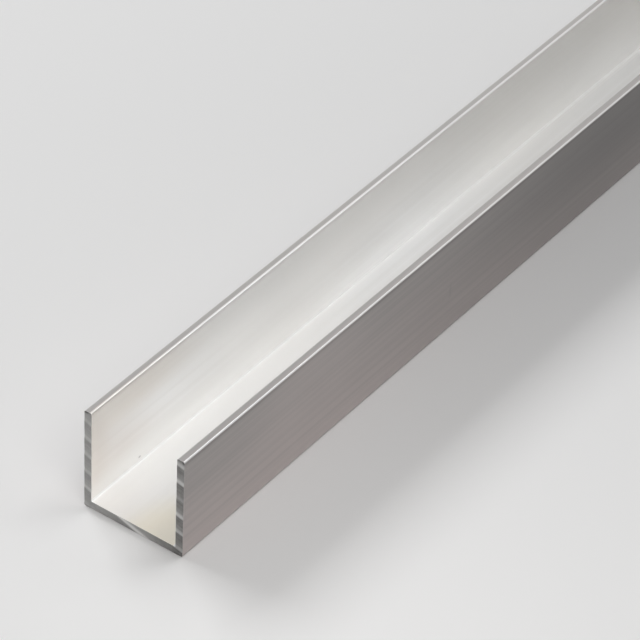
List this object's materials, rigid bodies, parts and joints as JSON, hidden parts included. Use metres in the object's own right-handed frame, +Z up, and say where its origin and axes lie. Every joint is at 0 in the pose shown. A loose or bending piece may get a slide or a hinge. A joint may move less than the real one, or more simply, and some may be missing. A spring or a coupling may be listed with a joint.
{
  "type": "metal channel section",
  "caption": "Straight length of extruded aluminium U channel: a square open section with thin, even walls, crisp corners, plain mill faces and sawn ends.",
  "frame": {"origin": "on the underside of the web, in the middle of its width and in the middle of the bar's length", "axes": "+Z up, from the web to the open mouth of the channel; +Y along the bar, away from the end that the picture shows; +X across the web, to the right seen from that end"},
  "size_m": [0.02, 1, 0.02],
  "materials": {
    "mill_aluminium": "mill finish as extruded, satin, with faint lines along the bar and sawn ends"
  },
  "bodies": {
    "root": {"channel_section": "mill_aluminium"}
  },
  "joints": []
}
